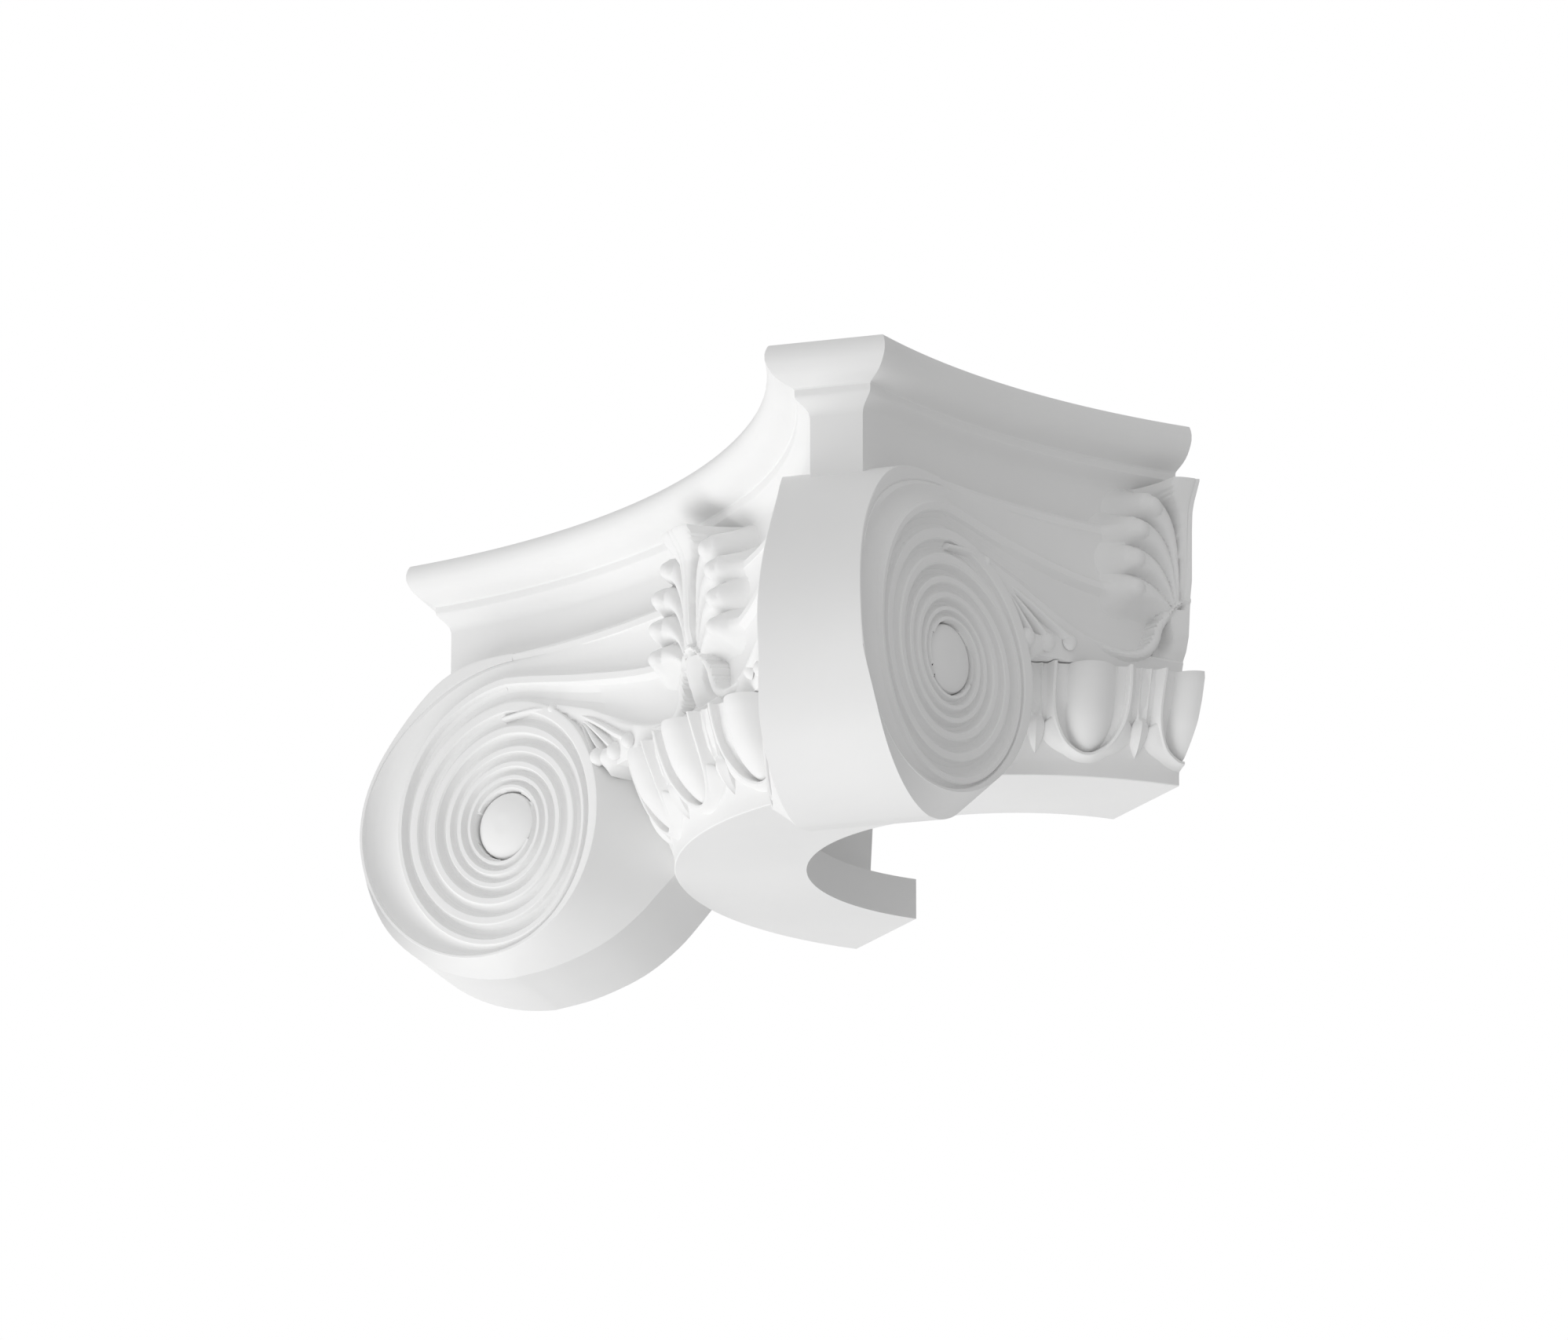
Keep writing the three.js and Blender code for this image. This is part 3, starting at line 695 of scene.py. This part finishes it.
def petal_height(s, z):
    """Heights of the petals, and how far outside the nearest one each point is."""
    inside = np.full(s.shape, -FAR_H)
    wall = np.full(s.shape, FAR_H)
    t = np.linspace(PETAL_START, 1, PETAL_STEPS)
    for (s0, z0), (s1, z1), (s2, z2) in PETALS:
        path = np.stack([
            (1 - t) ** 2 * s0 + 2 * t * (1 - t) * s1 + t * t * s2,
            (1 - t) ** 2 * z0 + 2 * t * (1 - t) * z1 + t * t * z2,
        ], -1)
        ratio, surplus, at = nearest(s, z, path, np.interp(t, PETAL_T, PETAL_HALF_W))
        crest = np.interp(t, PETAL_T, PETAL_H)[at]
        body = crest - PETAL_CROWN
        body = body + PETAL_CROWN * np.clip(1 - ratio ** PETAL_SQUARE, 0, 1) ** PETAL_ROUND
        knob_s, knob_z = path[KNOB_STATION]
        knob = np.hypot(s - knob_s, z - knob_z + KNOB_DROP) / KNOB_R
        body += np.where(knob < 1, KNOB_RISE * np.clip(1 - knob ** 2, 0, 1) ** 0.5, 0)
        inside = np.maximum(inside, np.where(ratio < 1, body, -FAR_H))
        wall = np.minimum(wall, surplus)
    return inside, wall


def ribbon_height(s, z):
    path = along_curve(np.column_stack([RIBBON, RIBBON_HALF_W, RIBBON_H]), RIBBON_STEPS)
    ratio, _, at = nearest(s, z, path[:, :2], path[:, 2])
    crest = path[:, 3][at]
    ribbon = crest - RIBBON_CROWN + RIBBON_CROWN * np.clip(1 - ratio ** 2, 0, 1) ** 0.5
    return np.where(ratio < 1, ribbon, -FAR_H)


def pad_height(s, z):
    """Heights of the whole pad: petals, middle leaf, stem, ribbons and tie over the cove round them."""
    s = np.abs(s)
    ground = ground_height(s, z)
    inside, wall = petal_height(s, z)
    leaf_w = np.interp(z, LEAF_Z, LEAF_HALF_W)
    spine = np.interp(z, SPINE_Z, SPINE_H)
    ratio = s / leaf_w
    vein = VEIN_DEPTH * np.exp(-((s - VEIN_S) / VEIN_HALF_W) ** 2)
    leaf = spine - LEAF_CROWN + LEAF_CROWN * np.clip(1 - ratio ** 3, 0, 1) ** 0.5 - vein
    inside = np.maximum(inside, np.where((ratio < 1) & (z > LEAF_Z[0]), leaf, -FAR_H))
    wall = np.minimum(wall, np.where(z > LEAF_Z[0], s - leaf_w, FAR_H))
    stem_w = np.interp(z, STEM_Z, STEM_HALF_W)
    ratio = s / stem_w
    stem = spine - STEM_CROWN * ratio ** 2
    low = z < STEM_Z[-1]
    inside = np.maximum(inside, np.where((ratio < 1) & low, stem, -FAR_H))
    edge = mix(COVE_EDGE_TOP, COVE_EDGE_LOW, smooth((COVE_EDGE_Z - z) / COVE_EDGE_REACH))
    depth = np.clip(1 - np.maximum(wall, 0) / COVE, 0, 1) ** 2
    cove = ground - COVE_SINK + (edge - ground + COVE_SINK) * depth
    reach = np.where(low, np.clip(1 - np.maximum(s - stem_w, 0) / STEM_COVE, 0, 1) ** 2, 0)
    stem_cove = ground - COVE_SINK + (spine - STEM_CROWN - ground + COVE_SINK) * reach
    cove = np.maximum(cove, stem_cove)
    inside = np.maximum(inside, ribbon_height(s, z))
    tie_z = TIE_Z - TIE_SAG * np.minimum(s / TIE_HALF_W, TIE_SAG_END) ** 2
    tie = np.exp(-((z - tie_z) / TIE_HALF_H) ** 4) * (s < TIE_END_S)
    raised = np.maximum(inside, cove)
    tie_h = spine + TIE_RISE - TIE_FALL * (s / TIE_HALF_W) ** 2
    return np.maximum(raised, mix(raised, tie_h, tie))


def palmette():
    half = PAD_HALF_W * np.linspace(0, 1, PAD_COLUMNS) ** PAD_SPREAD
    s = np.concatenate([-half[:0:-1], half])
    z = np.linspace(PAD_LOW_Z, PAD_TOP_Z, PAD_ROWS)
    grid_s, grid_z = np.meshgrid(s, z)
    front = face_points(grid_s, grid_z, pad_height(grid_s, grid_z))
    x = PAD_BACK_SHARE * front[:, [-1, 0], 0]
    back = np.stack([x, np.full(x.shape, CANAL_BACK_N), grid_z[:, :2]], -1)
    return solid("palmette", loft(np.concatenate([front, back], axis=1)))


# Husks: a stalk along the disc, a fan of thin leaves and a cup below their curled tips

# Stations as (s, z, half-width, height above the face)
STALK = [
    (138, 79.2, 1.5, 0.4), (122, 80.2, 1.8, 0.8), (110, 79, 2.0, -0.5), (103, 77, 1.8, -2.5),
    (97, 74.2, 1.5, -4),
]
FAN = [
    [(99, 75.5, 1.0, -3), (90, 71, 1.5, -1), (79, 65, 1.9, 0.8), (68, 58.5, 2.2, 2.2), (60, 54.5, 1.8, 3)],
    [
        (98, 74.5, 0.9, -3.4), (90, 68.5, 1.4, -1.8), (82, 62, 1.7, -0.4), (75, 56, 1.9, 0.4),
        (71, 52.5, 1.5, 0),
    ],
    [
        (98, 74, 0.9, -3.6), (91, 67, 1.3, -2.2), (86, 60.5, 1.6, -1.2), (81.5, 55, 1.7, -0.6),
        (79, 51.5, 1.4, -1),
    ],
    [
        (98, 73.5, 0.8, -3.8), (93, 66.5, 1.2, -2.6), (90, 60.5, 1.4, -2), (87.5, 55.5, 1.4, -1.6),
        (86, 52, 1.1, -2),
    ],
]
CUP = [
    (77.5, 54, 10.5, -1.4), (77.5, 51, 10.2, -0.2), (77.5, 48, 7.8, -1.2), (78, 45.2, 4, -3.4),
    (78.5, 42.6, 0.8, -6),
]
# Rolled tips as (s, z, radius, rise above the face)
CURLS = [
    (60, 53.6, 3.6, 3.4), (71.5, 51.8, 4.2, 1.8), (83, 51.6, 4.4, 1.2), (98, 74.8, 2.4, -3),
    (110, 79, 2.4, 0.8),
]
HUSK_STEPS = 17
HUSK_ARCH = 9
HUSK_BACK = 5
CUP_STEPS = 13
CUP_ARCH = 13
CUP_BACK = 22
CUP_POWER = 0.35
CURL_RINGS = 9
CURL_ARCH = 13
# Angle left open at both ends of a curl
CURL_END = 0.06


def mirrored(points, side):
    return np.asarray(points, float) * [side, 1, 1, 1]


def curl(s, z, radius, rise):
    """Rings of a leaf's rolled tip, round as seen from in front."""
    tilts = np.linspace(CURL_END, math.pi - CURL_END, CURL_RINGS)
    across = np.linspace(0, math.pi, CURL_ARCH)
    half = np.array([radius * math.sin(a) for a in tilts])[:, None]
    up = np.array([z + radius * math.cos(a) for a in tilts])[:, None]
    height = rise - radius + radius * np.sin(across) * np.sin(tilts)[:, None]
    return face_points(s + half * np.cos(across), up, height)


def husks():
    parts = []
    for side in (-1, 1):
        for line in [STALK] + FAN:
            stations = along_curve(mirrored(line, side), HUSK_STEPS)
            parts.append(solid("husk", loft(arched(stations, HUSK_ARCH, back=HUSK_BACK))))
        for s, z, radius, rise in CURLS:
            parts.append(solid("curl", loft(curl(side * s, z, radius, rise))))
        stations = along_curve(mirrored(CUP, side), CUP_STEPS)
        parts.append(solid("cup", loft(arched(stations, CUP_ARCH, back=CUP_BACK, power=CUP_POWER))))
    return unite(parts)


# Egg-and-dart belt

EGG_STEPS = 20
EGG_ARCH = 25
EGG_POWER = 0.62
EGG_Z = [9.7, 10.2, 11.5, 14, 18.7, 26, 33, 40, 45.5]
EGG_HALF_W = [0.6, 2.6, 5.0, 7.9, 10.7, 12.7, 13.7, 14.0, 13.7]
EGG_FRONT_Z = [9.9, 11, 13.2, 17.7, 24.6, 33.5, 44, 45.5]
EGG_FRONT_R = [151.5, 154.5, 156.9, 161.4, 167, 170.9, 174, 173.4]
# Half of the shell's crest, as distance from the egg's middle, height and radius
SHELL_CREST = [
    (16.8, 45.5, 171.5), (17, 38, 169.3), (16.7, 30, 166.3), (15.5, 23.5, 163.5), (13.1, 18, 160.5),
    (9.9, 13.5, 158), (6.2, 10.8, 156.3), (2.6, 9.2, 155.4), (0, 8.9, 155.2),
]
# Across the shell, from the egg outwards: place and drop from its crest
SHELL_SECTION = [
    (-5.5, 4.4), (-1.9, 4.2), (-1.3, 3), (-0.9, 0.5), (-0.5, 0), (0.4, 0), (0.9, 0.5), (1.6, 2.6),
    (3, 5.5),
]
SHELL_STEPS = 65
# Half of the flared cup under the shell: its upper and lower edges
FLARE_TOP = [
    (15.5, 24, 163), (15.2, 22.4, 162.4), (13.5, 18.8, 160.7), (10.8, 14.6, 158.4), (7.4, 11.6, 156.6),
    (3.8, 9.5, 155.4), (0, 8.9, 155),
]
FLARE_LOW = [
    (18.6, 22.4, 157), (20.3, 20.6, 156), (20, 16.8, 154.4), (16, 12.8, 152.6), (11, 10, 151.6),
    (5.6, 8.2, 150.8), (0, 7.7, 150.6),
]
FLARE_RISE = 1.1
FLARE_STEPS = 49
# From the belt's top down: height, half-width and radius of the crest
DART = [
    (BELT_TOP_Z, 3.1, 167.8), (41, 3.0, 166.6), (36, 2.9, 165), (31, 2.8, 163.5), (27, 2.6, 162.2),
    (24.5, 2.6, 161.6), (22, 3.8, 161.2), (19.5, 4.1, 160.2), (16, 3.2, 158.2), (13, 2.0, 155.8),
    (10.8, 0.9, 153.4), (9.4, 0.3, 151.4),
]
# Across the dart's stem and head: place as a share of the half-width, and drop from the crest
STEM_SECTION = [
    (-1, 9), (-0.97, 0.9), (-0.72, 0), (-0.45, 0.7), (0, 1.1), (0.45, 0.7), (0.72, 0), (0.97, 0.9),
    (1, 9),
]
HEAD_SECTION = [
    (-1, 9), (-0.93, 2.2), (-0.66, 1.6), (-0.33, 0.8), (0, 0), (0.33, 0.8), (0.66, 1.6), (0.93, 2.2),
    (1, 9),
]
HEAD_TOP_Z = 25.5
HEAD_BLEND = 2.5
DART_STEPS = 45
BELT_BACK_R = 143.0


def belt_points(angle, across, radius, z):
    across, radius, z = np.broadcast_arrays(*(np.asarray(v, float) for v in (across, radius, z)))
    turn = angle + across / radius
    return np.stack([radius * np.sin(turn), radius * np.cos(turn), z], -1)


def egg(angle):
    rings = []
    a = np.linspace(0, math.pi, EGG_ARCH)
    for drop in np.sin(np.linspace(0, math.pi / 2, EGG_STEPS)):
        z = mix(BELT_TOP_Z, EGG_Z[0], drop)
        wide = np.interp(z, EGG_Z, EGG_HALF_W)
        front = np.interp(z, EGG_FRONT_Z, EGG_FRONT_R)
        radius = mix(BELT_BACK_R, front, np.sin(a) ** EGG_POWER)
        rings.append(belt_points(angle, wide * np.cos(a), radius, z))
    return solid("egg", loft(rings))


def both_halves(points):
    points = np.asarray(points, float)
    return np.concatenate([points, points[-2::-1] * [-1, 1, 1]])


def shell_ring(angle):
    crest = along_curve(both_halves(SHELL_CREST), SHELL_STEPS)
    along = np.gradient(crest[:, :2], axis=0)
    along /= np.linalg.norm(along, axis=1)[:, None]
    outward = np.stack([-along[:, 1], along[:, 0]], -1)
    offset, drop = np.array(SHELL_SECTION).T
    across = crest[:, :1] + outward[:, :1] * offset
    z = np.minimum(crest[:, 1:2] + outward[:, 1:] * offset, BELT_TOP_Z)
    front = belt_points(angle, across, crest[:, 2:] - drop, z)
    back = belt_points(angle, across[:, [-1, 0]], BELT_BACK_R, z[:, [-1, 0]])
    return solid("shell", loft(np.concatenate([front, back], axis=1)))


def flare(angle):
    top, low = (along_curve(both_halves(edge), FLARE_STEPS) for edge in (FLARE_TOP, FLARE_LOW))
    rows = []
    for share in (0, 0.25, 0.5, 0.75, 1):
        row = mix(top, low, share) + [0, 0, FLARE_RISE * math.sin(math.pi * share)]
        rows.append(belt_points(angle, row[:, 0], row[:, 2], row[:, 1]))
    rows += [belt_points(angle, edge[:, 0], BELT_BACK_R, edge[:, 1]) for edge in (low, top)]
    return solid("flare", loft(np.moveaxis(np.array(rows), 0, 1)))


def dart(angle):
    rings = []
    stem, head = np.array(STEM_SECTION), np.array(HEAD_SECTION)
    for z, wide, crest in along_curve(DART, DART_STEPS):
        place, drop = mix(stem, head, float(smooth((HEAD_TOP_Z - z) / HEAD_BLEND))).T
        front = belt_points(angle, place * wide, crest - drop, z)
        back = belt_points(angle, place[[-1, 0]] * wide, BELT_BACK_R, z)
        rings.append(np.concatenate([front, back]))
    return solid("dart", loft(rings))


def belt():
    parts = []
    for face in FACE_ANGLES:
        for k in (-1, 0, 1):
            angle = face + k * BELT_STEP
            if abs(angle) < EGG_LIMIT:
                parts += [egg(angle), shell_ring(angle), flare(angle)]
        for k in (-1.5, -0.5, 0.5, 1.5):
            angle = face + k * BELT_STEP
            if abs(angle) < DART_LIMIT:
                parts.append(dart(angle))
    return unite(parts)


def capital_solid():
    corner = unite([corner_block(), corner_core()])
    carving = unite([canal(), palmette(), husks()])
    parts = [abacus(), body(), belt(), corner, turned(corner, math.radians(-90))]
    for angle in (-90, 90):
        parts.append(turned(carving, math.radians(angle)))
    parts.append(carving)
    capital = unite(parts)
    combine(capital, hollow(), "DIFFERENCE")
    behind = box_shell((-BEYOND, -BEYOND, -BEYOND), (BEYOND, 0, BEYOND))
    combine(capital, solid("behind", behind), "DIFFERENCE")
    capital.name = "capital_carved"
    capital.data.name = "capital_carved"
    return capital


CREASE = math.radians(28)
# The darker and the lighter white of the primer's mottle
PRIMER_DARK = (0.83, 0.83, 0.828, 1)
PRIMER_LIGHT = (0.86, 0.86, 0.857, 1)


def smooth_shading(item):
    item.data.shade_smooth()
    item.data.set_sharp_from_angle(angle=CREASE)
    modifier = item.modifiers.new("normals", "WEIGHTED_NORMAL")
    modifier.keep_sharp = True


def node(tree, kind, **values):
    made = tree.nodes.new(kind)
    for name, value in values.items():
        made.inputs[name].default_value = value
    return made


def primed_foam():
    """Matt white primer on hard foam: an even white with a faint mottle and a fine sprayed grain."""
    material = bpy.data.materials.new("primed_foam")
    material.use_nodes = True
    tree = material.node_tree
    shader = tree.nodes["Principled BSDF"]
    shader.inputs["Roughness"].default_value = 0.6
    shader.inputs["Specular IOR Level"].default_value = 0.3
    where = tree.nodes.new("ShaderNodeTexCoord")
    mottle = node(tree, "ShaderNodeTexNoise", Scale=14.0, Detail=4.0, Roughness=0.5)
    tint = node(tree, "ShaderNodeValToRGB")
    tint.color_ramp.elements[0].position = 0.3
    tint.color_ramp.elements[0].color = PRIMER_DARK
    tint.color_ramp.elements[1].position = 0.7
    tint.color_ramp.elements[1].color = PRIMER_LIGHT
    grain = node(tree, "ShaderNodeTexNoise", Scale=900.0, Detail=2.0, Roughness=0.6)
    bump = node(tree, "ShaderNodeBump", Strength=0.08, Distance=0.0002)
    tree.links.new(where.outputs["Object"], mottle.inputs["Vector"])
    tree.links.new(where.outputs["Object"], grain.inputs["Vector"])
    tree.links.new(mottle.outputs["Fac"], tint.inputs["Fac"])
    tree.links.new(tint.outputs["Color"], shader.inputs["Base Color"])
    tree.links.new(grain.outputs["Fac"], bump.inputs["Height"])
    tree.links.new(bump.outputs["Normal"], shader.inputs["Normal"])
    return material


# Studio

# The light all round, which is weaker from behind the wall's plane
AMBIENT_FRONT = 0.86
AMBIENT_BACK = 0.36
KEY = {"direction": (-0.2, -0.6, -0.77), "distance": 3.2, "size": 3.0, "power": 58}
FLOOR_Z = -3.4
FLOOR_HALF = 8.0
FLOOR_COLOR = (0.9, 0.9, 0.9, 1)
PHOTO_SIZE = (1997, 1707)
FOCAL_PIXELS = 13615.3
SENSOR = 36.0
VIEW_AZIMUTH = math.radians(62.697)
VIEW_ELEVATION = math.radians(-16.7785)
VIEW_DISTANCE = 4.7329
VIEW_TARGET = Vector((-0.0225, -0.1026, -0.0652))
VIEW_END = 100


def camera():
    data = bpy.data.cameras.new("camera")
    data.sensor_width = SENSOR
    data.lens = FOCAL_PIXELS / PHOTO_SIZE[0] * SENSOR
    data.clip_end = VIEW_END
    item = bpy.data.objects.new("camera", data)
    bpy.context.scene.collection.objects.link(item)
    flat = math.cos(VIEW_ELEVATION)
    back = Vector((math.sin(VIEW_AZIMUTH) * flat, -math.cos(VIEW_AZIMUTH) * flat, math.sin(VIEW_ELEVATION)))
    item.location = VIEW_TARGET + back * VIEW_DISTANCE
    item.rotation_mode = "QUATERNION"
    item.rotation_quaternion = (-back).to_track_quat("-Z", "Y")
    bpy.context.scene.camera = item


def world():
    scene = bpy.context.scene
    scene.world = bpy.data.worlds.new("studio")
    scene.world.use_nodes = True
    tree = scene.world.node_tree
    tree.nodes.clear()
    light = node(tree, "ShaderNodeBackground", Color=(1, 1, 1, 1))
    where = tree.nodes.new("ShaderNodeTexCoord")
    axes = tree.nodes.new("ShaderNodeSeparateXYZ")
    towards_back = tree.nodes.new("ShaderNodeMapRange")
    values = {"From Min": -1, "From Max": 1, "To Min": AMBIENT_FRONT, "To Max": AMBIENT_BACK}
    for name, value in values.items():
        towards_back.inputs[name].default_value = value
    tree.links.new(where.outputs["Generated"], axes.inputs[0])
    tree.links.new(axes.outputs["Y"], towards_back.inputs["Value"])
    tree.links.new(towards_back.outputs["Result"], light.inputs["Strength"])
    paper = node(tree, "ShaderNodeBackground", Color=(1, 1, 1, 1), Strength=1.0)
    path = tree.nodes.new("ShaderNodeLightPath")
    blend = tree.nodes.new("ShaderNodeMixShader")
    output = tree.nodes.new("ShaderNodeOutputWorld")
    tree.links.new(path.outputs["Is Camera Ray"], blend.inputs["Fac"])
    tree.links.new(light.outputs[0], blend.inputs[1])
    tree.links.new(paper.outputs[0], blend.inputs[2])
    tree.links.new(blend.outputs[0], output.inputs["Surface"])
    scene.view_settings.view_transform = "Standard"


def lamp(name, direction, distance, size, power):
    data = bpy.data.lights.new(name, "AREA")
    data.shape = "DISK"
    data.size = size
    data.energy = power
    item = bpy.data.objects.new(name, data)
    bpy.context.scene.collection.objects.link(item)
    towards = Vector(direction).normalized()
    item.location = VIEW_TARGET + towards * distance
    item.rotation_mode = "QUATERNION"
    item.rotation_quaternion = (-towards).to_track_quat("-Z", "Y")


def floor():
    mesh = bpy.data.meshes.new("floor")
    signs = [(-1, -1), (1, -1), (1, 1), (-1, 1)]
    corners = [(x * FLOOR_HALF, y * FLOOR_HALF, FLOOR_Z) for x, y in signs]
    mesh.from_pydata(corners, [], [(0, 1, 2, 3)])
    item = bpy.data.objects.new("floor", mesh)
    bpy.context.scene.collection.objects.link(item)
    material = bpy.data.materials.new("pale_floor")
    material.use_nodes = True
    material.node_tree.nodes["Principled BSDF"].inputs["Base Color"].default_value = FLOOR_COLOR
    mesh.materials.append(material)


def main():
    capital = capital_solid()
    smooth_shading(capital)
    capital.data.materials.clear()
    capital.data.materials.append(primed_foam())
    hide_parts("capital")
    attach(capital, "root")
    camera()
    world()
    lamp("key", **KEY)
    floor()
    triangles = sum(len(p.vertices) - 2 for p in capital.data.polygons)
    print("faces", len(capital.data.polygons), "triangles", triangles)


main()
